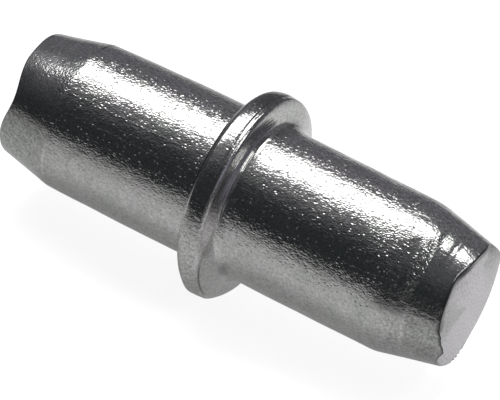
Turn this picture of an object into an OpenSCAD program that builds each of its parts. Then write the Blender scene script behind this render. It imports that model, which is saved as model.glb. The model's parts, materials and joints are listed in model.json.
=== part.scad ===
// Double-ended shelf support pin: one piece of zinc-plated steel wire, headed in the middle to a
// round collar, with a tapered nose and a cropped end on each side.
// The axis is level and lies along X. The origin is the centre of the collar.
// The pin on the -X side plugs into the cabinet's panel, and the pin on the +X side carries the shelf.

/* [Pins] */
// Diameter of both pins, made for a 5 mm shelf hole
shank_d = 5; // [4.1:0.1:6.1]
// Length of the panel-side pin, from the collar's face to its cropped end
panel_len = 7.55; // [4:0.05:20]
// Length of the shelf-side pin, from the collar's face to its cropped end
shelf_len = 7.55; // [4:0.05:20]

/* [Noses] */
// Length of the tapered nose at each end
nose_len = 2; // [1.2:0.1:3]
// Diameter of each nose where the wire is cropped
nose_tip_d = 4; // [3.2:0.1:4.8]

/* [Collar] */
// Diameter of the collar over the crown of its rim
collar_d = 6.8; // [5.8:0.1:9]
// Width of the collar between its two faces
collar_w = 0.9; // [0.5:0.05:2]
// Height by which the rim's middle would stand above its corners, if they weren't bevelled
crown_h = 0.06; // [0.02:0.01:0.12]
// Width of the bevel along each edge of the rim
rim_bevel = 0.15; // [0.05:0.01:0.2]
// Radius of the fillet between each face of the collar and its pin
root_fillet_r = 0.2; // [0.05:0.01:0.25]

/* [Cropped ends] */
// Radius to which the shear rolled one side of each end over
roll_r = 1.2; // [0.9:0.05:2]
// Width of the rolled-over side, measured across the end
roll_reach = 0.85; // [0.5:0.05:0.9]
// Slope at which the rolled-over side runs out over the nose, from square to the axis
roll_slope = 45; // [30:5:55]
// Turn of the shelf end's rolled-over side about the axis, from straight down
roll_turn = 60; // [0:5:355]

/* [Hidden] */
$fn = 128;
shank_r = shank_d / 2;
tip_r = nose_tip_d / 2;
collar_r = collar_d / 2;
collar_half = collar_w / 2;
// radius of the arc across the rim, and the distance of its centre from the axis
crown_r = (collar_half * collar_half + crown_h * crown_h) / (2 * crown_h);
crown_y = collar_r - crown_r;
// curves that would meet at a tangent are set this far apart instead, so that they meet at a clean edge
clean_step = 0.01;
// how far a cut reaches past what it cuts
clear = 2 * shank_d;

// The outlines below are half sections: x is the distance from the axis, y the distance along it.

// One pin with its nose, from the collar's middle to the cropped end
module plug_outline(plug_len) {
    end_y = collar_half + plug_len;
    polygon([
        [0, 0],
        [shank_r, 0],
        [shank_r, end_y - nose_len],
        [tip_r, end_y],
        [0, end_y]
    ]);
}

// Fillet between one face of the collar and its pin
module root_outline() {
    difference() {
        translate([shank_r - root_fillet_r, 0])
            square([2 * root_fillet_r, collar_half + root_fillet_r]);
        translate([shank_r + root_fillet_r, collar_half + root_fillet_r])
            circle(r = root_fillet_r);
    }
}

// Collar: two flat faces, bevelled edges and a crowned rim
module collar_outline() {
    intersection() {
        polygon([
            [0, -collar_half],
            [collar_r - rim_bevel, -collar_half],
            [collar_r, rim_bevel - collar_half],
            [collar_r, collar_half - rim_bevel],
            [collar_r - rim_bevel, collar_half],
            [0, collar_half]
        ]);
        union() {
            translate([crown_y, 0]) circle(r = crown_r);
            translate([0, -collar_half]) square([max(crown_y, shank_r), collar_w]);
        }
    }
}

// The whole pin
module pin_outline() {
    collar_outline();
    plug_outline(shelf_len);
    root_outline();
    mirror([0, 1]) {
        plug_outline(panel_len);
        root_outline();
    }
}

// What the shear took from one end: all that lies beyond an arc, which falls away from the end's flat
// face and runs out over the nose in a straight slope
module crop_cut(plug_len, turn) {
    end_z = collar_half + plug_len;
    arc_x = tip_r - roll_reach;
    rotate([0, 0, turn])
        rotate([90, 0, 0])
            linear_extrude(height = clear, center = true)
                difference() {
                    translate([arc_x, end_z - nose_len])
                        square(clear);
                    translate([arc_x, end_z + clean_step - roll_r]) {
                        circle(r = roll_r);
                        rotate([0, 0, -roll_slope])
                            translate([0, -clear])
                                square([clear, clear + roll_r - clean_step]);
                    }
                }
}

module support_pin() {
    color([0.72, 0.74, 0.76])
        rotate([0, 90, 0])
            difference() {
                rotate_extrude() pin_outline();
                crop_cut(shelf_len, roll_turn);
                mirror([0, 0, 1]) crop_cut(panel_len, roll_turn + 180);
            }
}

support_pin();
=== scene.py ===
"""Looks and studio for a double-ended shelf support pin.

The pin is one piece of zinc-plated steel wire: a round collar in the middle, and on each side a shank,
a tapered nose and a cropped end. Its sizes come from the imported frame. All lengths are in metres.

Angles round the pin, called turns here, start straight up and open towards the front, which is -Y. So
a turn of 90 degrees is the front, 180 the underside and 270 the back.
"""

from __future__ import annotations

import json
import logging
import math
from dataclasses import dataclass, field
from enum import Enum

import bpy
import numpy as np
from mathutils import Matrix, Vector

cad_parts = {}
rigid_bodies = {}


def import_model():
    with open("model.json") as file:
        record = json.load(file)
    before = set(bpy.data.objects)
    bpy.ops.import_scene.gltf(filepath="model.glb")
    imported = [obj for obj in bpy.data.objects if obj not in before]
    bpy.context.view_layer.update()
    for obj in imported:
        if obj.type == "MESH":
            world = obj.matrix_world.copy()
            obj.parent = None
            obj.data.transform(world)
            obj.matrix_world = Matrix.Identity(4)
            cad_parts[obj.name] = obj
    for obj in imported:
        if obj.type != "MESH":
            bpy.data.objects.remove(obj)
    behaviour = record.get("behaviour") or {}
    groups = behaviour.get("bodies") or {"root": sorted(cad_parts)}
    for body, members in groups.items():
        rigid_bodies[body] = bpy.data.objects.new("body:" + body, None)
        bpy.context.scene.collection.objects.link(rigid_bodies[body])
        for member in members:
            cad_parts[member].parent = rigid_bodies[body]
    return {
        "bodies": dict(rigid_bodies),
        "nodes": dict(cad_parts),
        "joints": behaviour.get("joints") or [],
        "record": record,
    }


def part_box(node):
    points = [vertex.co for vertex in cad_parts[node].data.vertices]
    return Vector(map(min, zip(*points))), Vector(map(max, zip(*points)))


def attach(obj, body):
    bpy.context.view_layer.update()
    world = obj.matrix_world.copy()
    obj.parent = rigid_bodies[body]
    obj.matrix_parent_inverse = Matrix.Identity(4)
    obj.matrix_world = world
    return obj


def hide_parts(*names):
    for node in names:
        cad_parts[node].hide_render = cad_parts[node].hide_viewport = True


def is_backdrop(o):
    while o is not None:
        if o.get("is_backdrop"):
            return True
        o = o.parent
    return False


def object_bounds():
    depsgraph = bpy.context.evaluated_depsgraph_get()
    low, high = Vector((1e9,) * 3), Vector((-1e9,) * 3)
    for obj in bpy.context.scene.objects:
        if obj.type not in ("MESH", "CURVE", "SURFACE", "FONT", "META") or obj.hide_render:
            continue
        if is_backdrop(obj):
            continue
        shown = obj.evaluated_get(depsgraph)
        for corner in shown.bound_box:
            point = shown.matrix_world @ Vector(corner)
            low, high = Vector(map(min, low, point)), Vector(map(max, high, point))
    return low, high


log = logging.getLogger("pin")

MM = 0.001
NODE = "support_pin"
FLOOR_GAP = 0.02 * MM

Socket = bpy.types.NodeSocket
Colour = tuple[float, float, float, float]


class Side(Enum):
    """The two ends of the pin, by the sign of x on which each lies."""

    PANEL = -1
    SHELF = 1


class Zone(Enum):
    """The masks that the pin's mesh carries for its finish and its painted light, by attribute name."""

    HAMMERED = "hammered"
    ROLLED = "rolled"
    # Smudges, and painted shade in creases, along edges and on the rim's top
    GRIME = "smudge_and_painted_shade"
    SHEARED = "sheared"
    FILMED = "filmed"
    MOTTLED = "mottled"
    # Painted highlights: pale lines along a ring, a bend and the collar's edges
    RUBBED = "painted_highlight"


# ---------------------------------------------------------------------------------------------
# Small helpers on whole arrays


def turn(degrees: float) -> float:
    """Gives in radians a turn stated in degrees."""
    return math.radians(degrees)


def wrapped(angle: np.ndarray) -> np.ndarray:
    """Brings angles into the range from -pi to pi."""
    return (angle + np.pi) % (2.0 * np.pi) - np.pi


def ease(value: np.ndarray, start: float, end: float) -> np.ndarray:
    """Rises smoothly from 0 at start to 1 at end, as 3s^2 - 2s^3.

    Args:
        value: where to evaluate it.
        start: value at which it leaves 0.
        end: value at which it reaches 1, which may lie below start.

    Returns:
        The share from 0 to 1 at each value.
    """
    share = np.clip((value - start) / (end - start), 0.0, 1.0)
    return share * share * (3.0 - 2.0 * share)


def bell(value: np.ndarray, centre: float, width: float) -> np.ndarray:
    """A bell curve of height 1: exp of minus half the squared distance from the centre in widths."""
    return np.exp(-0.5 * ((value - centre) / width) ** 2)


def bell_round(turns: np.ndarray, centre: float, width: float) -> np.ndarray:
    """The same bell curve round the pin, with its centre and width in degrees."""
    return np.exp(-0.5 * (wrapped(turns - turn(centre)) / turn(width)) ** 2)


def soft_lower(a: np.ndarray, b: np.ndarray, width: float) -> np.ndarray:
    """The lower of two heights, blended over a width where they cross: a soft minimum.

    Args:
        a: first height.
        b: second height.
        width: how far apart the two are where the blend has faded out.

    Returns:
        min(a, b) less a quadratic fillet of that width.
    """
    share = np.clip(0.5 + 0.5 * (b - a) / width, 0.0, 1.0)
    return b * (1.0 - share) + a * share - width * share * (1.0 - share)


# ---------------------------------------------------------------------------------------------
# The pin


@dataclass(frozen=True)
class PinSizes:
    """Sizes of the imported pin, read from its box and mounts."""

    half_length: float
    shank_radius: float
    bend: float
    collar_radius: float
    collar_half: float

    @classmethod
    def from_frame(cls, frame: dict) -> PinSizes:
        """Reads the sizes.


        Returns:
            The sizes, in metres.
        """
        low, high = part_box(NODE)
        mounts = {m["name"]: m for m in frame["record"]["mounts"]}
        pin, face = mounts["shelf_pin"], mounts["shelf_shoulder"]
        length = pin["dims"]["length_mm"] * MM
        return cls(
            half_length=(high[0] - low[0]) / 2,
            shank_radius=pin["dims"]["r_mm"] * MM,
            bend=pin["pos_m"][0] + length / 2,
            collar_radius=(high[2] - low[2]) / 2,
            collar_half=face["pos_m"][0],
        )


@dataclass(frozen=True)
class Mark:
    """A place round the pin, by its turn in degrees, where an edge stands out along the axis.

    A negative rise is pulled back.
    """

    at: float
    spread: float
    rise: float


def risen(marks: tuple[Mark, ...], turns: np.ndarray) -> np.ndarray:
    """Sums the marks: each one's rise times its bell curve round the pin."""
    return sum((m.rise * bell_round(turns, m.at, m.spread) for m in marks), np.zeros_like(turns))


@dataclass(frozen=True)
class Patch:
    """A soft-edged patch of one part of the finish, by its place along the axis and round it.

    Its share falls as exp of minus half the fourth power of the distance in lengths or spreads.
    """

    zone: Zone
    along: float
    length: float
    at: float
    spread: float
    share: float = 1.0

    def cover(self, along: np.ndarray, turns: np.ndarray) -> np.ndarray:
        """How much of the patch lies at each place.

        Args:
            along: distance along the axis.
            turns: turn round the axis.

        Returns:
            The patch's share at each place.
        """
        past = (along - self.along) / self.length
        round_it = wrapped(turns - turn(self.at)) / turn(self.spread)
        return self.share * np.exp(-0.5 * (past**4 + round_it**4))


Stations = tuple[tuple[float, float], ...]

# Outlines of half of the collar, from the middle of its rim to the run-out of its root. A station is
# a share of the collar's half width and a share of its step above the shank.
PANEL_SIDE: Stations = (
    (0.00, 1.033), (0.18, 1.035), (0.44, 1.017), (0.71, 0.972), (0.87, 0.911), (0.96, 0.822),
    (1.00, 0.711), (1.01, 0.556), (1.00, 0.400), (1.00, 0.250), (1.02, 0.130), (1.09, 0.050),
    (1.20, 0.010), (1.32, 0.000),
)
PANEL_SIDE_FRONT: Stations = (
    (0.00, 1.033), (0.30, 1.031), (0.62, 1.024), (0.80, 1.012), (0.90, 0.985), (1.00, 0.950),
    (1.12, 0.905), (1.22, 0.850), (1.29, 0.760), (1.32, 0.620), (1.32, 0.450), (1.32, 0.250),
    (1.34, 0.100), (1.44, 0.000),
)
SHELF_SIDE_FRONT: Stations = (
    (0.00, 1.033), (0.13, 1.030), (0.24, 1.020), (0.30, 1.020), (0.36, 1.018), (0.43, 1.012),
    (0.49, 0.998), (0.54, 0.975), (0.59, 0.940), (0.65, 0.885), (0.70, 0.810), (0.73, 0.710),
    (0.747, 0.600), (0.758, 0.480), (0.768, 0.360), (0.78, 0.240), (0.80, 0.130), (0.85, 0.067),
    (0.97, 0.035), (1.10, 0.000),
)
SHELF_SIDE_TOP: Stations = (
    (0.00, 1.033), (0.06, 1.030), (0.11, 1.015), (0.17, 0.999), (0.22, 0.995), (0.30, 0.998),
    (0.38, 1.001), (0.43, 0.996), (0.48, 0.987), (0.56, 0.968), (0.62, 0.915), (0.67, 0.830),
    (0.70, 0.740), (0.715, 0.620), (0.724, 0.470), (0.732, 0.310), (0.745, 0.160), (0.79, 0.078),
    (0.93, 0.039), (1.07, 0.000),
)
SHELF_SIDE_LOW: Stations = (
    (0.00, 1.033), (0.14, 1.032), (0.27, 1.031), (0.42, 1.026), (0.56, 1.018), (0.64, 1.006),
    (0.69, 1.006), (0.75, 1.016), (0.81, 1.000), (0.87, 0.965), (0.95, 0.905), (1.02, 0.820),
    (1.08, 0.700), (1.14, 0.560), (1.23, 0.420), (1.36, 0.290), (1.56, 0.175), (1.84, 0.090),
    (2.20, 0.035), (2.60, 0.000),
)


@dataclass(frozen=True)
class Outline:
    """An outline of half of the collar, with the turn where it holds and how far it spreads."""

    stations: Stations
    at: float
    spread: float


@dataclass(frozen=True)
class Lump:
    """A gentle lump of the wire, by its place past the bend, its turn in degrees and its rise."""

    past_bend: float
    length: float
    at: float
    spread: float
    rise: float


@dataclass(frozen=True)
class Plug:
    """One half of the pin: half of the collar, a shank, a nose and a cropped end.

    Its slopes run in over the end by the run_in power of the distance from the axis, and its marks
    keep to the rim by the rim_hold power.
    """

    side: Side
    reach: float
    tip_radius: float
    swell: float
    draft: float
    shoulder: float
    slack_shoulder: float
    outlines: tuple[Outline, ...]
    collar_marks: tuple[Mark, ...]
    slopes: tuple[Mark, ...]
    marks: tuple[Mark, ...] = ()
    bend_marks: tuple[Mark, ...] = ()
    burr: tuple[Mark, ...] = ()
    blunt: tuple[Mark, ...] = ()
    lumps: tuple[Lump, ...] = ()
    rings: tuple[float, ...] = ()
    ring_depth: float = 0.010 * MM
    edge: float = 0.04 * MM
    run_in: float = 2.0
    rim_hold: int = 28


# Patches of the finish and of painted light, each by its place and length along the axis, then its turn
# and spread
PATCHES: tuple[Patch, ...] = (
    # A smudge low at the front of the collar's root; painted shade on the rim's top and on top of the
    # root
    Patch(Zone.GRIME, 0.84 * MM, 0.11 * MM, 121, 7, 0.4),
    Patch(Zone.GRIME, -0.05 * MM, 0.28 * MM, -8, 13, 0.65),
    Patch(Zone.GRIME, 0.70 * MM, 0.20 * MM, -9, 14, 0.25),
    # Painted shade: a dark reflection line at the front of the shelf side's bend
    Patch(Zone.GRIME, 6.38 * MM, 0.42 * MM, 79, 5, 0.55),
    # Painted shade: dark lines along the collar's edges, and in the crease at the panel side's bend
    Patch(Zone.GRIME, 0.275 * MM, 0.014 * MM, 34, 20, 0.4),
    Patch(Zone.GRIME, 0.428 * MM, 0.013 * MM, 120, 15, 0.7),
    Patch(Zone.GRIME, -0.49 * MM, 0.08 * MM, 40, 32, 0.45),
    Patch(Zone.GRIME, -5.88 * MM, 0.03 * MM, -16, 13, 0.75),
    # Dull greenish film on the flanks of the noses
    Patch(Zone.FILMED, -7.15 * MM, 1.15 * MM, 104, 34, 1.0),
    Patch(Zone.FILMED, 7.45 * MM, 0.62 * MM, 87, 22, 0.75),
    Patch(Zone.FILMED, -0.1 * MM, 0.42 * MM, 108, 34, 0.3),
    # Mottled plate on the noses, and on the rim's top and lower front
    Patch(Zone.MOTTLED, -7.15 * MM, 1.15 * MM, 102, 34, 1.0),
    Patch(Zone.MOTTLED, 7.25 * MM, 0.9 * MM, 98, 30, 1.0),
    Patch(Zone.MOTTLED, -0.08 * MM, 0.4 * MM, -9, 20, 1.0),
    Patch(Zone.MOTTLED, -0.08 * MM, 0.4 * MM, 106, 32, 1.0),
    # Denser dimples towards the shelf end: a band up to the first ring, the bend, and the shank
    Patch(Zone.HAMMERED, 6.66 * MM, 0.17 * MM, 40, 19, 1.0),
    Patch(Zone.HAMMERED, 6.0 * MM, 0.85 * MM, 38, 22, 0.35),
    Patch(Zone.HAMMERED, 3.0 * MM, 2.6 * MM, 60, 60, 0.06),
    # Long scratches along the front, where the dimples are sharper
    Patch(Zone.HAMMERED, -3.4 * MM, 2.3 * MM, 57, 0.6, 0.25),
    Patch(Zone.HAMMERED, -3.8 * MM, 1.8 * MM, 43.5, 0.6, 0.2),
    # Painted highlights: pale lines along the first ring, the panel side's bend and both edges of the
    # collar
    Patch(Zone.RUBBED, 6.89 * MM, 0.03 * MM, 97, 20, 0.5),
    Patch(Zone.RUBBED, -5.84 * MM, 0.04 * MM, 104, 13, 0.45),
    Patch(Zone.RUBBED, -0.42 * MM, 0.03 * MM, 64, 22, 0.6),
    Patch(Zone.RUBBED, 0.375 * MM, 0.035 * MM, 84, 19, 1.0),
)


@dataclass(frozen=True)
class PaintedEdgeShade:
    """A painted dark line of shade along the edge of the shelf end.

    It lies off the edge's corner or, where the edge is blunt, off the nose's flank inwards.
    """

    at: float
    spread: float
    off: float
    width: float
    share: float = 1.0
    from_flank: bool = False


# Painted dark lines of shade along the edge of the shelf end
PAINTED_EDGE_SHADES: tuple[PaintedEdgeShade, ...] = (
    PaintedEdgeShade(-8, 18, 0.0, 0.045 * MM),
    PaintedEdgeShade(27, 9, 0.14 * MM, 0.06 * MM, from_flank=True),
    PaintedEdgeShade(54, 20, 0.01 * MM, 0.028 * MM),
    PaintedEdgeShade(96, 11, 0.03 * MM, 0.05 * MM, share=1.4),
    PaintedEdgeShade(122, 12, 0.0, 0.030 * MM),
)


@dataclass(frozen=True)
class Rows:
    """How many rows of the grid each stretch of one half has."""

    station: int = 4
    shank: int = 36
    bend: int = 16
    nose: int = 34
    edge: int = 8
    end: int = 18


@dataclass
class SupportPin:
    """The whole pin as one closed grid: rows along its outline, columns round its axis."""

    sizes: PinSizes
    columns: int = 276
    rows: Rows = field(default_factory=Rows)
    bow: float = 0.053 * MM
    bow_toward: float = -36.0
    collar_slip: float = 0.035 * MM
    ripple: float = 0.0035 * MM
    ripples: int = 28
    seed: int = 5
    patches: tuple[Patch, ...] = PATCHES
    painted_edge_shades: tuple[PaintedEdgeShade, ...] = PAINTED_EDGE_SHADES

    @property
    def tip_radius(self) -> float:
        """Radius of each nose at its tip, a fifth less than the shank's."""
        return 0.8 * self.sizes.shank_radius

    def panel_plug(self) -> Plug:
        """Sizes the half that sits in the panel, with a notch in the front of its end.

        Returns:
            The panel side's half.
        """
        return Plug(
            side=Side.PANEL,
            reach=0.966 * self.sizes.half_length,
            tip_radius=self.tip_radius,
            swell=0.022 * MM,
            draft=0.067 * MM,
            shoulder=0.010 * MM,
            slack_shoulder=0.0,
            outlines=(
                Outline(PANEL_SIDE, -60, 45),
                Outline(PANEL_SIDE_FRONT, 38, 26),
                Outline(PANEL_SIDE, 140, 50),
            ),
            collar_marks=(
                Mark(-10, 45, 0.03 * MM),
                Mark(2, 16, 0.035 * MM),
                Mark(138, 25, -0.19 * MM),
            ),
            slopes=(Mark(66, 16.5, -0.26 * MM), Mark(28, 7, 0.02 * MM), Mark(-10, 14, 0.06 * MM)),
            bend_marks=(Mark(55, 50, -0.17 * MM),),
            lumps=(
                Lump(1.0 * MM, 0.42 * MM, 26, 20, 0.028 * MM),
                Lump(-2.6 * MM, 1.8 * MM, -36, 40, 0.020 * MM),
            ),
        )

    def shelf_plug(self) -> Plug:
        """Sizes the half that the shelf rests on, with a torn lip and rings near its end.

        Returns:
            The shelf side's half.
        """
        return Plug(
            side=Side.SHELF,
            reach=self.sizes.half_length,
            tip_radius=self.tip_radius,
            swell=0.008 * MM,
            draft=0.035 * MM,
            shoulder=0.035 * MM,
            slack_shoulder=0.13 * MM,
            outlines=(
                Outline(SHELF_SIDE_LOW, -85, 27),
                Outline(SHELF_SIDE_TOP, 8, 33),
                Outline(SHELF_SIDE_FRONT, 64, 19),
                Outline(SHELF_SIDE_LOW, 150, 36),
            ),
            collar_marks=(
                Mark(-76, 22, 0.10 * MM),
                Mark(186, 18, 0.10 * MM),
                Mark(158, 12, -0.06 * MM),
            ),
            slopes=(
                Mark(-56, 12, 0.08 * MM),
                Mark(-24, 7, -0.10 * MM),
                Mark(38, 11, -0.14 * MM),
                Mark(60, 15, -0.10 * MM),
                Mark(170, 20, 0.06 * MM),
            ),
            run_in=3.2,
            marks=(
                Mark(91, 1.6, 0.04 * MM),
                Mark(99, 1.8, -0.03 * MM),
                Mark(104, 9.5, 0.23 * MM),
                Mark(109, 2.0, 0.03 * MM),
                Mark(116, 10, 0.07 * MM),
                Mark(182, 12, 0.08 * MM),
                Mark(174, 1.5, -0.06 * MM),
                Mark(180, 1.5, -0.07 * MM),
                Mark(186, 1.5, -0.07 * MM),
                Mark(192, 1.5, -0.06 * MM),
            ),
            burr=(Mark(32, 7, 0.014 * MM),),
            blunt=(Mark(-36, 6, 0.07 * MM), Mark(29, 8, 0.07 * MM)),
            lumps=(Lump(0.25 * MM, 0.5 * MM, 18, 12, 0.03 * MM),),
            rings=(6.8 * MM, 7.25 * MM, 7.42 * MM),
        )

    def turns(self) -> np.ndarray:
        """The turn of each column."""
        return np.arange(self.columns) * (2.0 * np.pi / self.columns)

    def end_reach(self, plug: Plug, share: np.ndarray | float, turns: np.ndarray) -> np.ndarray:
        """Distance of an end's surface from the collar's middle.

        Formula: the plug's reach, plus its slopes times the run_in power of the share, plus its marks
        times the rim_hold power of it.

        Args:
            plug: which half.
            share: distance from the axis as a share of the end's radius.
            turns: turn round the axis.

        Returns:
            The distance along the axis at each place.
        """
        sloped = risen(plug.slopes, turns) * share**plug.run_in
        return plug.reach + sloped + risen(plug.marks, turns) * share**plug.rim_hold

    def wire_radius(self, plug: Plug, along: np.ndarray, turns: np.ndarray) -> np.ndarray:
        """Radius of the shank and the nose.

        Formula: the soft minimum of a shank, which loses its draft as the square of the way to the
        bend, and a nose, which is a straight taper from the bend to the tip. The shoulder where they
        meet is slacker at the top than elsewhere. Lumps are bells along and round it. A ring falls
        steeply and rises again gently.

        Args:
            plug: which half.
            along: distance from the collar's middle.
            turns: turn round the axis.

        Returns:
            The radius at each place.
        """
        s = self.sizes
        bend = s.bend + risen(plug.bend_marks, turns)
        way = np.clip((along - s.collar_half) / (bend - s.collar_half), 0.0, None)
        shank = s.shank_radius + plug.swell - plug.draft * way**2
        at_bend = s.shank_radius + plug.swell - plug.draft
        down = (along - bend) / (s.half_length - bend)
        nose = at_bend + (plug.tip_radius - at_bend) * down
        shoulder = plug.shoulder + plug.slack_shoulder * bell_round(turns, 22, 34)
        radius = soft_lower(shank, nose, shoulder)
        for lump in plug.lumps:
            rise = lump.rise * bell_round(turns, lump.at, lump.spread)
            radius = radius + rise * bell(along, s.bend + lump.past_bend, lump.length)
        for ring in plug.rings:
            start, bottom, end = ring - 0.05 * MM, ring + 0.03 * MM, ring + 0.33 * MM
            fall = ease(along, start, bottom) * bell_round(turns, 14, 16)
            radius = radius - plug.ring_depth * fall * ease(along, end, bottom)
        flare = ease(along - self.end_reach(plug, 1.0, turns), -0.07 * MM, -0.02 * MM)
        return radius + risen(plug.burr, turns) * flare

    def collar_rows(self, plug: Plug, turns: np.ndarray) -> tuple[np.ndarray, np.ndarray]:
        """Rows of half of the collar, from the middle of its rim to the run-out of its root.

        The outline is a Catmull-Rom curve through stations, which are the means of the plug's outlines
        weighted by their bell curves. It starts level at the middle of the rim.

        Args:
            plug: which half.
            turns: turn of each column.

        Returns:
            Distance along the axis and radius, both by row and column.
        """
        s = self.sizes
        weights = np.stack([bell_round(turns, o.at, o.spread) + 1e-9 for o in plug.outlines])
        stations = np.array([o.stations for o in plug.outlines])
        knots = np.einsum("oc,okx->kxc", weights / weights.sum(axis=0), stations)
        before, after = knots[1:2] * np.array([[-1.0], [1.0]]), 2.0 * knots[-1:] - knots[-2:-1]
        knots = np.concatenate([before, knots, after])
        step = (np.arange(self.rows.station) / self.rows.station)[:, None, None, None]
        a, b, c, d = (knots[k : len(knots) - 3 + k] for k in range(4))
        curve = 0.5 * (
            2.0 * b
            + (c - a) * step
            + (2.0 * a - 5.0 * b + 4.0 * c - d) * step**2
            + (3.0 * b - a - 3.0 * c + d) * step**3
        )
        curve = np.concatenate([curve.swapaxes(0, 1).reshape(-1, 2, len(turns)), knots[-2:-1]])
        step_up = s.collar_radius - s.shank_radius - plug.swell
        lean = risen(plug.collar_marks, turns) * ease(curve[:, 0], 0.1, 0.9)
        return curve[:, 0] * s.collar_half + lean, s.shank_radius + plug.swell + curve[:, 1] * step_up

    def wire_rows(
        self, plug: Plug, start: np.ndarray, turns: np.ndarray
    ) -> tuple[np.ndarray, np.ndarray]:
        """Rows of the shank, the nose and the cropped end, out to the middle of the end.

        The edge of the end is a parabola between the nose's flank and the end's surface.

        Args:
            plug: which half.
            start: where the root runs out, by column.
            turns: turn of each column.

        Returns:
            Distance along the axis and radius, both by row and column.
        """
        s, rows = self.sizes, self.rows
        tip = self.end_reach(plug, 1.0, turns)
        rim = self.wire_radius(plug, tip, turns)
        edge = plug.edge + risen(plug.blunt, turns)
        before, after = s.bend - 0.45 * MM, s.bend + 0.3 * MM
        shank_x = start + (before - start) * np.linspace(0.0, 1.0, rows.shank + 1)[1:, None]
        bend_x = np.linspace(before, after, rows.bend + 1)[1:, None] * np.ones_like(turns)
        nose_x = after + (tip - edge - after) * np.linspace(0.0, 1.0, rows.nose + 1)[1:, None]
        wire_x = np.vstack([shank_x, bend_x, nose_x])
        wire_r = self.wire_radius(plug, wire_x, turns)
        inner = rim - edge
        inner_x = self.end_reach(plug, inner / rim, turns)
        u = np.linspace(0.0, 1.0, rows.edge + 1)[1:, None]
        edge_x = (1 - u) ** 2 * wire_x[-1] + 2 * u * (1 - u) * tip + u**2 * inner_x
        edge_r = (1 - u) ** 2 * wire_r[-1] + 2 * u * (1 - u) * rim + u**2 * inner
        share = 1.0 - np.linspace(0.0, 1.0, rows.end + 1)[1:-1, None] ** 1.7
        end_r = inner * share
        end_x = self.end_reach(plug, end_r / rim, turns)
        return np.vstack([wire_x, edge_x, end_x]), np.vstack([wire_r, edge_r, end_r])

    def half(self, plug: Plug) -> tuple[np.ndarray, np.ndarray]:
        """All rows of one half.

        Args:
            plug: which half.

        Returns:
            Signed distance along the axis and radius, both by row and column.
        """
        turns = self.turns()
        collar_x, collar_r = self.collar_rows(plug, turns)
        wire_x, wire_r = self.wire_rows(plug, collar_x[-1], turns)
        along = np.vstack([collar_x, wire_x])
        return along * plug.side.value, np.vstack([collar_r, wire_r])

    def waviness(self, along: np.ndarray, turns: np.ndarray) -> np.ndarray:
        """Slight unevenness of the drawn wire.

        Formula: a sum of cosines of a whole number of waves round the axis plus a length along it,
        each with a chance phase and a height that falls with its fineness.

        Args:
            along: distance along the axis.
            turns: turn round the axis.

        Returns:
            How far the surface stands out at each place.
        """
        chance = np.random.default_rng(self.seed)
        height = np.zeros(np.broadcast(along, turns).shape)
        for _ in range(self.ripples):
            waves = chance.integers(1, 13)
            length = chance.uniform(0.9, 3.5) * MM
            phase = chance.uniform(0.0, 2.0 * np.pi)
            sign = chance.choice((-1.0, 1.0))
            height += np.cos(waves * turns + sign * 2.0 * np.pi * along / length + phase) / waves
        return self.ripple * height

    def painted_edge_shade(self, along: np.ndarray, radius: np.ndarray, turns: np.ndarray) -> np.ndarray:
        """How dark the painted lines of shade make the edge of the shelf end.

        Formula: the sum of each line's share times its bell round the pin times a bell of the distance
        from the edge's corner, which counts about a third inwards, or from the nose's flank.

        Args:
            along: distance along the axis.
            radius: distance from the axis.
            turns: turn round the axis.

        Returns:
            How dark the line is at each place, from 0 to 1.
        """
        shelf = self.shelf_plug()
        inset = self.wire_radius(shelf, np.abs(along), turns) - radius
        corner = np.hypot(self.end_reach(shelf, 1.0, turns) - along, 0.35 * inset)
        dark = np.zeros_like(radius)
        for line in self.painted_edge_shades:
            off = inset if line.from_flank else corner
            across = bell(off, line.off, line.width)
            dark = dark + line.share * bell_round(turns, line.at, line.spread) * across
        return np.clip(dark, 0.0, 1.0)

    def rolled(self, along: np.ndarray, radius: np.ndarray, turns: np.ndarray) -> np.ndarray:
        """Where the dies rolled the collar's faces.

        Formula: a rise with the radius just off the shank, times a rise along the axis past the ridge
        of the rim on the shelf side, or past the rim's edge on the panel side. The ridge lies further
        from the middle on the low side.

        Args:
            along: distance along the axis.
            radius: distance from the axis.
            turns: turn round the axis.

        Returns:
            A share from 0 to 1 at each place.
        """
        s = self.sizes
        low_side = ease(0.5 - 0.5 * np.cos(turns - turn(-10)), 0.25, 0.85)
        ridge = (0.45 + 0.32 * low_side) * s.collar_half
        collar_faces = ease(radius, s.shank_radius + 0.03 * MM, s.shank_radius + 0.12 * MM)
        beyond = ease(along - ridge, 0.0, 0.05 * MM) + ease(along, -0.36 * MM, -0.43 * MM)
        return collar_faces * np.clip(beyond, 0.0, 1.0)

    def ramp(self, along: np.ndarray, radius: np.ndarray) -> np.ndarray:
        """Where the smooth ramp at the foot of the collar's shelf face lies.

        Formula: a fall with the radius off the shank, times a rise and a fall along the axis.

        Args:
            along: distance along the axis.
            radius: distance from the axis.

        Returns:
            A share from 0 to 1 at each place.
        """
        s = self.sizes
        foot = ease(radius, s.shank_radius + 0.12 * MM, s.shank_radius + 0.06 * MM)
        return foot * ease(along, 0.54 * MM, 0.48 * MM) * ease(along, 0.3 * MM, 0.32 * MM)

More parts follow.
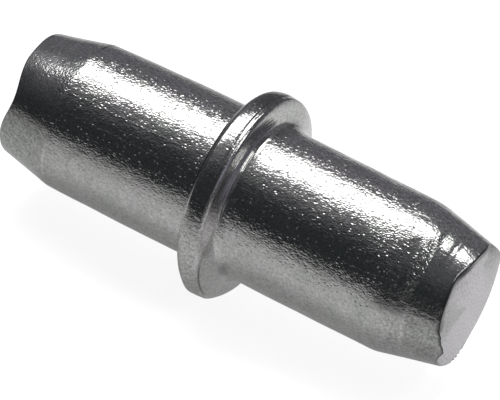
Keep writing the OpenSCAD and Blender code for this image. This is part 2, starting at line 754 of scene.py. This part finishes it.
    def masks(self, along: np.ndarray, radius: np.ndarray, turns: np.ndarray) -> dict[Zone, np.ndarray]:
        """Where each part of the finish and of the painted light lies, before and after the patches are
        laid on.

        Args:
            along: distance along the axis.
            radius: distance from the axis.
            turns: turn round the axis.

        Returns:
            A share from 0 to 1 at each place, by zone.
        """
        s, tip, far = self.sizes, self.tip_radius, np.abs(along)
        rolled = self.rolled(along, radius, turns)
        sheared = ease(radius, tip - 0.02 * MM, tip - 0.12 * MM) * ease(far, s.bend, s.bend + 1.0 * MM)
        nose = ease(far, s.bend - 0.2 * MM, s.bend + 0.4 * MM)
        rim = ease(radius, s.collar_radius - 0.35 * MM, s.collar_radius - 0.15 * MM)
        hammered = (1.0 - rolled) * (1.0 - sheared) * (1.0 - 0.6 * nose) * (1.0 - 0.45 * rim)
        hammered = hammered * (1.0 - 0.95 * self.ramp(along, radius))
        far_face = rolled * ease(along, 0.0, 0.3 * MM) * bell_round(turns, -26, 34)
        end_top = sheared * ease(radius, 0.9 * MM, 1.5 * MM) * bell_round(turns, -45, 28)
        masks = {
            Zone.HAMMERED: 0.5 * hammered,
            Zone.ROLLED: rolled,
            # Painted shade along the shelf end's edge
            Zone.GRIME: self.painted_edge_shade(along, radius, turns),
            Zone.SHEARED: sheared,
            Zone.FILMED: 0.85 * far_face + 0.5 * end_top,
            Zone.MOTTLED: bell_round(turns, -8, 17) * (1.0 - rolled),
            Zone.RUBBED: np.zeros_like(radius),
        }
        for patch in self.patches:
            masks[patch.zone] = masks[patch.zone] + patch.cover(along, turns)
        return {zone: np.clip(values, 0.0, 1.0) for zone, values in masks.items()}

    def build(self) -> bpy.types.Object:
        """Makes the pin's mesh and its masks.

        Formula: each place stands off the axis by its radius, plus the waviness on the bare wire. The
        axis runs straight from half the bow one way at the collar to half of it the other way at each
        end, and the collar slips back against it.

        Returns:
            The finished object, at the origin.
        """
        panel, shelf = self.half(self.panel_plug()), self.half(self.shelf_plug())
        along = np.vstack([panel[0][::-1], shelf[0][1:]])
        radius = np.vstack([panel[1][::-1], shelf[1][1:]])
        turns, s = np.broadcast_to(self.turns(), along.shape), self.sizes
        wire = ease(s.shank_radius + 0.05 * MM - radius, 0.0, 0.04 * MM)
        wire = wire * ease(radius, 0.6 * MM, 1.9 * MM)
        shaped = radius + wire * self.waviness(along, turns)
        bow = self.bow * (0.5 - np.abs(along) / s.half_length)
        step_up = s.collar_radius - s.shank_radius
        bow = bow - self.collar_slip * ease(radius - s.shank_radius, 0.1 * step_up, 0.5 * step_up)
        toward = turn(self.bow_toward)
        points = np.stack(
            [
                along,
                -shaped * np.sin(turns) - bow * math.sin(toward),
                shaped * np.cos(turns) + bow * math.cos(toward),
            ],
            axis=-1,
        )
        masks = self.masks(along, radius, turns)
        return closed_grid("support_pin_plated", points, masks)


def in_scene(name: str, data: bpy.types.ID) -> bpy.types.Object:
    """Makes an object of a mesh, lamp or camera.

    Args:
        name: the object's name.
        data: what it shows.

    Returns:
        The object, linked to the scene.
    """
    made = bpy.data.objects.new(name, data)
    bpy.context.scene.collection.objects.link(made)
    return made


def closed_grid(name: str, points: np.ndarray, masks: dict[Zone, np.ndarray]) -> bpy.types.Object:
    """Makes a mesh from a grid that is closed round its columns and capped by a pole at each end.

    Each square joins a row to the next and a column to the next, and the last column meets the first.
    A pole is the mean of its end's row. The corners run anticlockwise from outside, so that each face
    looks outwards.

    Args:
        name: the object's name.
        points: places by row, column and coordinate.
        masks: values by row and column, which become attributes of the points.

    Returns:
        The object, linked to the scene.
    """
    rows, columns, _ = points.shape
    poles = np.stack([points[0].mean(axis=0), points[-1].mean(axis=0)])
    places = np.vstack([points.reshape(-1, 3), poles])
    index = np.arange(rows * columns).reshape(rows, columns)
    nearby = np.roll(index, -1, axis=1)
    squares = np.stack([index[:-1], nearby[:-1], nearby[1:], index[1:]], axis=-1).reshape(-1, 4)
    first, last = rows * columns, rows * columns + 1
    start_fan = np.stack([np.full(columns, first), nearby[0], index[0]], axis=-1)
    end_fan = np.stack([np.full(columns, last), index[-1], nearby[-1]], axis=-1)
    mesh = bpy.data.meshes.new(name)
    mesh.from_pydata(places.tolist(), [], squares.tolist() + start_fan.tolist() + end_fan.tolist())
    mesh.validate()
    mesh.polygons.foreach_set("use_smooth", np.ones(len(mesh.polygons), dtype=bool))
    for zone, values in masks.items():
        ends = [values[0].mean(), values[-1].mean()]
        attribute = mesh.attributes.new(zone.value, "FLOAT", "POINT")
        attribute.data.foreach_set("value", np.append(values.ravel(), ends).astype(np.float32))
    mesh.update()
    return in_scene(name, mesh)


# ---------------------------------------------------------------------------------------------
# Finishes


@dataclass
class Sheet:
    """A node tree under construction, with short ways to add and join nodes."""

    tree: bpy.types.NodeTree
    placed: int = 0

    def add(self, kind: str, **settings: object) -> bpy.types.Node:
        """Adds a node.

        Args:
            kind: Blender's name of the node's class.
            settings: values of the node's own properties.

        Returns:
            The node.
        """
        node = self.tree.nodes.new(kind)
        node.location = (self.placed * 180, 0)
        self.placed += 1
        for key, value in settings.items():
            setattr(node, key, value)
        return node

    def join(self, source: Socket, target: Socket) -> None:
        """Links one socket to another."""
        self.tree.links.new(source, target)

    def feed(self, target: Socket, value: object) -> None:
        """Links a socket, or sets a plain value.

        Args:
            target: the input.
            value: a socket, a number, or a colour or vector.
        """
        if isinstance(value, Socket):
            self.join(value, target)
        else:
            target.default_value = value

    def math(self, operation: str, *values: object, clamp: bool = False) -> Socket:
        """Adds a Math node.

        Args:
            operation: its operation.
            values: what its inputs take, in order.
            clamp: whether the result stays from 0 to 1.

        Returns:
            The result's socket.
        """
        node = self.add("ShaderNodeMath", operation=operation, use_clamp=clamp)
        for socket, value in zip(node.inputs, values):
            self.feed(socket, value)
        return node.outputs[0]

    def times(self, first: object, *others: object) -> Socket:
        """Multiplies numbers in order.

        Args:
            first: a number's socket or a number.
            others: what it is multiplied by, each a socket or a number.

        Returns:
            The product's socket.
        """
        for other in others:
            first = self.math("MULTIPLY", first, other)
        return first

    def scaled(self, vector: object, factor: tuple[float, float, float]) -> Socket:
        """Multiplies a vector by a factor along each axis.

        Args:
            vector: a vector's socket.
            factor: the three factors.

        Returns:
            The product's socket.
        """
        node = self.add("ShaderNodeVectorMath", operation="MULTIPLY")
        self.feed(node.inputs[0], vector)
        node.inputs[1].default_value = factor
        return node.outputs[0]

    def scaled_by(self, vector: object, factor: Socket) -> Socket:
        """Multiplies a vector or a colour by one number.

        Args:
            vector: the vector's or colour's socket.
            factor: the number's socket.

        Returns:
            The product's socket.
        """
        node = self.add("ShaderNodeVectorMath", operation="SCALE")
        self.feed(node.inputs[0], vector)
        self.feed(node.inputs["Scale"], factor)
        return node.outputs[0]

    def noise(
        self, vector: object, scale: object, detail: float = 2.0, rough: float = 0.5
    ) -> Socket:
        """Adds a noise pattern.

        Args:
            vector: where it is read.
            scale: cells to a metre.
            detail: how many finer layers it has.
            rough: share of the height that each finer layer keeps.

        Returns:
            The pattern's value, from 0 to 1 about 0.5.
        """
        node = self.add("ShaderNodeTexNoise")
        self.feed(node.inputs["Vector"], vector)
        self.feed(node.inputs["Scale"], scale)
        node.inputs["Detail"].default_value = detail
        node.inputs["Roughness"].default_value = rough
        return node.outputs["Fac"]

    def spread(
        self,
        value: object,
        low: float,
        high: float,
        to_low: object = 0.0,
        to_high: object = 1.0,
        smooth: bool = False,
    ) -> Socket:
        """Maps a range of values to another, held at its ends.

        Args:
            value: what is mapped.
            low: value that gives to_low.
            high: value that gives to_high.
            to_low: result at low.
            to_high: result at high.
            smooth: whether it leaves and reaches its ends smoothly.

        Returns:
            The result's socket.
        """
        kind = "SMOOTHSTEP" if smooth else "LINEAR"
        node = self.add("ShaderNodeMapRange", interpolation_type=kind)
        for socket, given in zip(node.inputs, (value, low, high, to_low, to_high)):
            self.feed(socket, given)
        return node.outputs[0]

    def step(
        self, value: object, low: float, high: float, to_low: float = 0.0, to_high: float = 1.0
    ) -> Socket:
        """Maps a range of values as spread does, but leaves and reaches its ends smoothly."""
        return self.spread(value, low, high, to_low, to_high, smooth=True)

    def blend(self, share: object, first: object, second: object, kind: str = "MIX") -> Socket:
        """Blends two colours.

        Args:
            share: how much of the second.
            first: a colour or a colour's socket.
            second: the other.
            kind: how they blend.

        Returns:
            The blended colour's socket.
        """
        node = self.add("ShaderNodeMix", data_type="RGBA", blend_type=kind)
        self.feed(node.inputs[0], share)
        self.feed(node.inputs[6], first)
        self.feed(node.inputs[7], second)
        return node.outputs[2]

    def mask(self, zone: Zone) -> Socket:
        """Reads one of the piece's masks."""
        return self.add("ShaderNodeAttribute", attribute_name=zone.value).outputs["Fac"]

    def place(self) -> Socket:
        """Reads the place on the piece, in Object coordinates."""
        return self.add("ShaderNodeTexCoord").outputs["Object"]

    def parts(self, vector: Socket) -> tuple[Socket, Socket, Socket]:
        """Splits a vector.

        Args:
            vector: the vector's socket.

        Returns:
            The sockets of its X, Y and Z.
        """
        node = self.add("ShaderNodeSeparateXYZ")
        self.join(vector, node.inputs[0])
        return node.outputs["X"], node.outputs["Y"], node.outputs["Z"]

    def show(self, shader: bpy.types.Node, kind: str = "ShaderNodeOutputMaterial") -> None:
        """Links a shader to an output node of that kind."""
        self.join(shader.outputs[0], self.add(kind).inputs["Surface"])


def clear_sheet(owner: bpy.types.Material | bpy.types.World) -> Sheet:
    """Empties the node tree of a material or a world.

    Args:
        owner: the material or world.

    Returns:
        Its sheet, to build on.
    """
    owner.use_nodes = True
    owner.node_tree.nodes.clear()
    return Sheet(owner.node_tree)


def new_group(name: str, inputs: dict[str, str], outputs: dict[str, str]) -> tuple[Sheet, dict, dict]:
    """Starts a node group with named sockets.

    Args:
        name: the group's name.
        inputs: kind of each input, by name.
        outputs: kind of each output, by name.

    Returns:
        The sheet to build on, the inputs' sockets by name, and the outputs' sockets by name.
    """
    tree = bpy.data.node_groups.new(name, "ShaderNodeTree")
    for socket, kind in inputs.items():
        tree.interface.new_socket(name=socket, in_out="INPUT", socket_type=kind)
    for socket, kind in outputs.items():
        tree.interface.new_socket(name=socket, in_out="OUTPUT", socket_type=kind)
    sheet = Sheet(tree)
    start, end = sheet.add("NodeGroupInput"), sheet.add("NodeGroupOutput")
    return sheet, {n: start.outputs[n] for n in inputs}, {n: end.inputs[n] for n in outputs}


def use_group(sheet: Sheet, group: bpy.types.NodeTree, **values: object) -> dict[str, Socket]:
    """Places a node group.

    Args:
        sheet: where it goes.
        group: the group.
        values: what its inputs take, by name.

    Returns:
        Its outputs by name.
    """
    node = sheet.add("ShaderNodeGroup", node_tree=group)
    for name, value in values.items():
        sheet.feed(node.inputs[name], value)
    return {socket.name: socket for socket in node.outputs}


def dimple_group() -> bpy.types.NodeTree:
    """Builds the fine hammered dimples and sparse sharp pits that plating over tumbled wire shows.

    Returns:
        A group that turns a place into a height of dimples and a depth of pits.
    """
    sheet, given, result = new_group(
        "tumbled dimples",
        {"Place": "NodeSocketVector", "Cells": "NodeSocketFloat"},
        {"Height": "NodeSocketFloat", "Pits": "NodeSocketFloat"},
    )
    place = sheet.scaled(given["Place"], (0.75, 1.0, 1.0))
    fine = sheet.noise(place, given["Cells"], detail=0.6)
    middle = sheet.noise(place, sheet.times(given["Cells"], 0.45), detail=1.0)
    broad = sheet.noise(place, sheet.times(given["Cells"], 0.2), detail=0.0)
    height = sheet.math("MULTIPLY_ADD", middle, 0.9, fine)
    sheet.join(sheet.math("MULTIPLY_ADD", broad, 1.0, height), result["Height"])
    cells = sheet.add("ShaderNodeTexVoronoi", voronoi_dimensions="3D", feature="F1")
    sheet.join(sheet.scaled(given["Place"], (0.6, 1.0, 1.0)), cells.inputs["Vector"])
    sheet.join(sheet.times(given["Cells"], 0.4), cells.inputs["Scale"])
    sheet.join(sheet.step(cells.outputs["Distance"], 0.0, 0.34, 1.0, 0.0), result["Pits"])
    return sheet.tree


def bloom_group() -> bpy.types.NodeTree:
    """Builds the patchy bloom of the plate: soft clouds, fine grain, specks and a drift of its tint.

    Returns:
        A group that turns a place into the shares of clouds, grain, dark specks and tint.
    """
    sheet, given, result = new_group(
        "plate bloom",
        {"Place": "NodeSocketVector"},
        {name: "NodeSocketFloat" for name in ("Clouds", "Grain", "Specks", "Tint")},
    )
    clouds = sheet.noise(given["Place"], 1900.0, detail=5.0, rough=0.62)
    grain = sheet.noise(given["Place"], 12000.0, detail=2.5, rough=0.7)
    specks = sheet.noise(sheet.scaled(given["Place"], (0.7, 1.0, 1.0)), 9000.0, detail=2.0, rough=0.6)
    tint = sheet.noise(given["Place"], 1100.0, detail=3.0, rough=0.55)
    sheet.join(sheet.spread(clouds, 0.33, 0.67), result["Clouds"])
    sheet.join(sheet.spread(grain, 0.2, 0.8), result["Grain"])
    sheet.join(sheet.spread(specks, 0.52, 0.72), result["Specks"])
    sheet.join(sheet.spread(tint, 0.35, 0.65), result["Tint"])
    return sheet.tree


@dataclass(frozen=True)
class ZincPlate:
    """Bright zinc plate over tumbled steel, dull in places, with rolled lines on the collar's faces."""

    pale: Colour = (0.645, 0.650, 0.625, 1.0)
    dull: Colour = (0.535, 0.555, 0.525, 1.0)
    rosy: Colour = (0.655, 0.625, 0.635, 1.0)
    # The pale of bare plate on the rolled faces and of painted highlights
    bare_and_highlight: Colour = (0.96, 0.93, 0.94, 1.0)
    # The dark of smudges and of painted shade
    smudge_and_painted_shade: Colour = (0.10, 0.10, 0.10, 1.0)
    speckle: Colour = (0.72, 0.72, 0.72, 1.0)
    film: Colour = (0.452, 0.467, 0.444, 1.0)
    cut: Colour = (0.82, 0.80, 0.81, 1.0)
    rosy_share: float = 0.6
    bare_share: float = 0.33
    relief: float = 0.0085 * MM
    pit_share: float = 0.9
    dimple_cells: float = 22000.0

    def build(self) -> bpy.types.Material:
        """Builds the material.

        Returns:
            The material, which reads Object coordinates and the piece's masks.
        """
        material = bpy.data.materials.new("zinc_plate")
        sheet = clear_sheet(material)
        place = sheet.place()
        masks = {zone: sheet.mask(zone) for zone in Zone}
        bloom = use_group(sheet, bloom_group(), Place=place)
        relief = sheet.add("ShaderNodeBump")
        relief.inputs["Distance"].default_value = self.relief
        relief.inputs["Strength"].default_value = 1.0
        sheet.join(self.dents(sheet, place, masks), relief.inputs["Height"])
        shader = sheet.add("ShaderNodeBsdfPrincipled")
        shader.inputs["Metallic"].default_value = 1.0
        sheet.join(self.colour(sheet, masks, bloom), shader.inputs["Base Color"])
        sheet.join(self.dullness(sheet, masks, bloom), shader.inputs["Roughness"])
        sheet.join(relief.outputs["Normal"], shader.inputs["Normal"])
        sheet.show(shader)
        return material

    def colour(self, sheet: Sheet, masks: dict[Zone, Socket], bloom: dict[str, Socket]) -> Socket:
        """Works out the plate's colour.

        The plate runs from dull to pale with the bloom's clouds and takes its rosy tint in drifts.
        Film, specks, the sheared cut, bare bright plate, painted highlights and grain are laid over it,
        and smudges and painted shade last.

        Args:
            sheet: where its nodes go.
            masks: the piece's masks.
            bloom: the outputs of the plate bloom.

        Returns:
            The colour's socket.
        """
        mottled, filmed = masks[Zone.MOTTLED], masks[Zone.FILMED]
        colour = sheet.blend(bloom["Clouds"], self.dull, self.pale)
        colour = sheet.blend(sheet.times(bloom["Tint"], self.rosy_share), colour, self.rosy)
        colour = sheet.blend(filmed, colour, self.film)
        specked = sheet.times(mottled, 0.9)
        specked = sheet.math("MULTIPLY_ADD", masks[Zone.HAMMERED], 1.2, specked, clamp=True)
        specks = sheet.times(bloom["Specks"], specked)
        colour = sheet.blend(specks, colour, self.speckle, kind="MULTIPLY")
        unfilmed = sheet.spread(filmed, 0.0, 1.0, 1.0, 0.0)
        colour = sheet.blend(sheet.times(masks[Zone.SHEARED], unfilmed), colour, self.cut)
        bare = sheet.times(masks[Zone.ROLLED], self.bare_share, unfilmed)
        # Painted highlights add to the bare plate
        bare = sheet.math("ADD", bare, masks[Zone.RUBBED], clamp=True)
        colour = sheet.blend(bare, colour, self.bare_and_highlight)
        depth = sheet.math("MULTIPLY_ADD", mottled, 0.5, 0.68)
        grain = sheet.math("SUBTRACT", bloom["Grain"], 0.5)
        grain = sheet.math("MULTIPLY_ADD", grain, depth, 1.0)
        # Last, the dark of smudges and painted shade
        return sheet.blend(masks[Zone.GRIME], sheet.scaled_by(colour, grain), self.smudge_and_painted_shade)

    def dullness(self, sheet: Sheet, masks: dict[Zone, Socket], bloom: dict[str, Socket]) -> Socket:
        """Works out the roughness.

        It is low on the shank, a little higher where the bloom's clouds are thin and on the sheared
        ends, and lower where the collar was rolled.

        Args:
            sheet: where its nodes go.
            masks: the piece's masks.
            bloom: the outputs of the plate bloom.

        Returns:
            The roughness's socket.
        """
        dullness = sheet.spread(bloom["Clouds"], 0.0, 1.0, 0.20, 0.13)
        dullness = sheet.math("MULTIPLY_ADD", masks[Zone.SHEARED], 0.22, dullness)
        return sheet.math("MULTIPLY_ADD", masks[Zone.ROLLED], -0.04, dullness)

    def dents(self, sheet: Sheet, place: Socket, masks: dict[Zone, Socket]) -> Socket:
        """Works out the height of the fine relief: dimples and pits, drawing lines, rings and streaks.

        Args:
            sheet: where its nodes go.
            place: the place on the piece.
            masks: the piece's masks.

        Returns:
            The height's socket.
        """
        dimples = use_group(sheet, dimple_group(), Place=place, Cells=self.dimple_cells)
        dents = sheet.math("MULTIPLY_ADD", dimples["Pits"], -self.pit_share, dimples["Height"])
        dents = sheet.times(dents, sheet.spread(masks[Zone.HAMMERED], 0.0, 1.0, 0.08, 2.0))
        # Drawing lines: long along the wire, fine across it
        lines = sheet.noise(sheet.scaled(place, (0.06, 1.0, 1.0)), 16000.0, detail=1.0)
        dents = sheet.math("MULTIPLY_ADD", lines, 0.15, dents)
        # Rolled lines: rings on the collar's faces, by distance from the axis and along it
        x, y, z = sheet.parts(place)
        square = sheet.math("MULTIPLY_ADD", y, y, sheet.times(z, z))
        ring = sheet.add("ShaderNodeCombineXYZ")
        sheet.join(x, ring.inputs["X"])
        sheet.join(sheet.math("SQRT", square), ring.inputs["Y"])
        rings = sheet.noise(ring.outputs[0], 14000.0)
        dents = sheet.math("MULTIPLY_ADD", rings, sheet.times(masks[Zone.ROLLED], 1.4), dents)
        # Streaky mottling, where the dies slid over the plate
        streaks = sheet.noise(sheet.scaled(place, (0.6, 1.0, 1.0)), 6500.0, detail=2.5)
        return sheet.math("MULTIPLY_ADD", streaks, sheet.times(masks[Zone.MOTTLED], 1.8), dents)


# ---------------------------------------------------------------------------------------------
# Studio


@dataclass(frozen=True)
class Floor:
    """A plain pale floor just under the pin, with a painted pool of light round it in reflections."""

    top: float
    half_width: float = 2.5
    shade: float = 0.62
    lift: float = 0.86
    painted_glint: float = 0.24
    mirrored_shade: float = 0.73
    # How much brighter the painted pool is behind the pin
    behind: float = 4.2
    full_behind: float = 50 * MM
    painted_pool: float = 20 * MM

    def build(self) -> bpy.types.Object:
        """Makes the floor. The camera sees it lifted to white, and it keeps the pin's shadow.

        In reflections the floor carries a painted pool of light: it fades from the pin outwards as
        1 / (1 + (distance / painted_pool)^2), times a rise from 1 beside the pin to behind at
        full_behind past it.

        Returns:
            The floor's object, which is marked as stage.
        """
        w = self.half_width
        corners = [(-w, -w, self.top), (w, -w, self.top), (w, w, self.top), (-w, w, self.top)]
        mesh = bpy.data.meshes.new("floor")
        mesh.from_pydata(corners, [], [(0, 1, 2, 3)])
        floor = in_scene("floor", mesh)
        material = bpy.data.materials.new("pale_floor")
        sheet = clear_sheet(material)
        path = sheet.add("ShaderNodeLightPath")
        seen, mirrored = path.outputs["Is Camera Ray"], path.outputs["Is Glossy Ray"]
        place = sheet.place()
        reach = sheet.add("ShaderNodeVectorMath", operation="LENGTH")
        sheet.join(sheet.scaled(place, (1.0, 1.0, 0.0)), reach.inputs[0])
        away = sheet.math("POWER", sheet.math("DIVIDE", reach.outputs["Value"], self.painted_pool), 2.0)
        painted_pool = sheet.math("DIVIDE", 1.0, sheet.math("ADD", away, 1.0))
        _, back, _ = sheet.parts(place)
        # Painted light: the pool rises behind the pin
        painted_pool = sheet.times(painted_pool, sheet.spread(back, 0.0, self.full_behind, 1.0, self.behind))
        faded = sheet.times(painted_pool, self.mirrored_shade)
        matt = sheet.add("ShaderNodeBsdfDiffuse")
        sheet.join(sheet.spread(mirrored, 0.0, 1.0, self.shade, faded), matt.inputs["Color"])
        glow = sheet.add("ShaderNodeEmission")
        # Painted glint: the pool glows in reflections
        lifted, painted_glinting = sheet.times(seen, self.lift), sheet.times(mirrored, self.painted_glint, painted_pool)
        sheet.join(sheet.math("ADD", lifted, painted_glinting), glow.inputs["Strength"])
        both = sheet.add("ShaderNodeAddShader")
        sheet.join(matt.outputs[0], both.inputs[0])
        sheet.join(glow.outputs[0], both.inputs[1])
        sheet.show(both)
        mesh.materials.append(material)
        floor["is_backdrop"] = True
        return floor


@dataclass(frozen=True)
class Room:
    """The dim room round the table: white to the camera, and to the rest darker in front than behind.

    A card stands on the right and a paler one below it. The ceiling glows softly from the softboxes.
    """

    front: Colour = (0.028, 0.031, 0.034, 1.0)
    behind: Colour = (0.155, 0.152, 0.170, 1.0)
    card: Colour = (0.17, 0.168, 0.205, 1.0)
    low_card: Colour = (0.72, 0.70, 0.70, 1.0)
    glow_tint: tuple[float, float, float] = (1.0, 0.98, 1.03)
    glow: float = 0.24
    side_glow: float = 0.045

    def build(self) -> None:
        """Sets the world. Cards and glows are products of smooth steps in the direction's X, Y, Z."""
        world = bpy.data.worlds.new("room")
        sheet = clear_sheet(world)
        step, times = sheet.step, sheet.times
        x, y, z = sheet.parts(sheet.add("ShaderNodeTexCoord").outputs["Generated"])
        colour = sheet.blend(sheet.spread(y, -0.3, 0.6), self.front, self.behind)
        dim_right = times(step(x, 0.2, 0.4), 0.8, step(z, 0.45, 0.7))
        colour = sheet.blend(dim_right, colour, self.front)
        card = times(step(x, 0.3, 0.8), step(y, -0.7, -0.1), step(z, 0.65, 0.45))
        colour = sheet.blend(card, colour, self.card)
        low_card = times(step(x, 0.22, 0.34), 0.33, step(x, 0.56, 0.42), step(z, 0.33, 0.15))
        colour = sheet.blend(low_card, colour, self.low_card)
        glow = times(
            step(y, -0.75, -0.05, 0.0, self.glow),
            step(y, 0.15, 0.5, 1.0, 0.0),
            step(x, -0.84, -0.58),
            step(x, -0.25, 0.25, 1.0, 0.2),
        )
        side_glow = times(
            step(y, -0.88, -0.55, 0.0, self.side_glow),
            step(y, -0.45, -0.25, 1.0, 0.0),
            step(x, -0.1, 0.1),
        )
        glow = sheet.math("ADD", glow, side_glow)
        colour = sheet.blend(1.0, colour, sheet.scaled_by(self.glow_tint, glow), kind="ADD")
        dim, white = sheet.add("ShaderNodeBackground"), sheet.add("ShaderNodeBackground")
        sheet.join(colour, dim.inputs["Color"])
        white.inputs["Color"].default_value = (1.0, 1.0, 1.0, 1.0)
        pick = sheet.add("ShaderNodeMixShader")
        sheet.join(sheet.add("ShaderNodeLightPath").outputs["Is Camera Ray"], pick.inputs[0])
        sheet.join(dim.outputs[0], pick.inputs[1])
        sheet.join(white.outputs[0], pick.inputs[2])
        sheet.show(pick, "ShaderNodeOutputWorld")
        bpy.context.scene.world = world


@dataclass(frozen=True)
class Softbox:
    """A soft box overhead, level, and turned to lie across the camera's view.

    Its places and sizes are shares of its height.
    """

    name: str
    off_x: float
    off_y: float
    length: float
    width: float
    swivel: float
    height: float = 0.22
    radiance: float = 4.0

    def build(self) -> bpy.types.Object:
        """Makes the lamp.

        Returns:
            The lamp's object.
        """
        h = self.height
        lamp = bpy.data.lights.new(self.name, "AREA")
        lamp.shape = "RECTANGLE"
        lamp.size, lamp.size_y = self.length * h, self.width * h
        lamp.energy = self.radiance * math.pi * lamp.size * lamp.size_y
        holder = in_scene(self.name, lamp)
        holder.location = (self.off_x * h, self.off_y * h, h)
        holder.rotation_euler = (0.0, 0.0, turn(self.swivel))
        holder.visible_camera = False
        return holder


# A long box, a short one that bends its far end towards the front, and one across its near end
SOFTBOXES: tuple[Softbox, ...] = (
    Softbox("softbox", -0.266, 0.293, length=0.93, width=0.45, swivel=28.0),
    Softbox("softbox_end", -0.795, -0.05, length=0.13, width=0.30, swivel=4.0),
    Softbox("softbox_side", 0.69, -0.113, length=0.19, width=0.585, swivel=18.0, radiance=3.2),
)


@dataclass(frozen=True)
class Camera:
    """A long lens that looks down on the pin from the front, from the shelf end's side."""

    azimuth: float = 22.2
    elevation: float = 33.93
    roll: float = 13.44
    distance: float = 0.105
    lens: float = 243.6
    sensor: float = 36.0
    aim_right: float = 0.214 * MM
    aim_down: float = 0.161 * MM

    def build(self) -> bpy.types.Object:
        """Makes the camera.

        Returns:
            The camera's object, which becomes the scene's camera.
        """
        a, e, r = turn(self.azimuth), turn(self.elevation), turn(self.roll)
        back = Vector((math.sin(a) * math.cos(e), -math.cos(a) * math.cos(e), math.sin(e)))
        level = Vector((math.cos(a), math.sin(a), 0.0))
        up = back.cross(level)
        right = level * math.cos(r) + up * math.sin(r)
        up = back.cross(right)
        data = bpy.data.cameras.new("camera")
        data.lens, data.sensor_width = self.lens, self.sensor
        data.clip_start, data.clip_end = 0.005, 20.0
        camera = in_scene("camera", data)
        aim = right * self.aim_right - up * self.aim_down
        turned = Matrix((right, up, back)).transposed().to_4x4()
        camera.matrix_world = Matrix.Translation(aim + back * self.distance) @ turned
        bpy.context.scene.camera = camera
        return camera


def main() -> None:
    """Builds the pin, its finish and the studio."""
    logging.basicConfig(level=logging.INFO, format="%(name)s: %(message)s")
    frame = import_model()
    packed_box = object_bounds()
    pin = SupportPin(PinSizes.from_frame(frame)).build()
    pin.data.materials.append(ZincPlate().build())
    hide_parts(NODE)
    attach(pin, "root")
    log.info("%s: %d faces", pin.name, len(pin.data.polygons))
    Floor(top=packed_box[0][2] - FLOOR_GAP).build()
    Room().build()
    for softbox in SOFTBOXES:
        softbox.build()
    Camera().build()
    bpy.context.scene.view_settings.view_transform = "Standard"


if __name__ == "__main__":
    main()
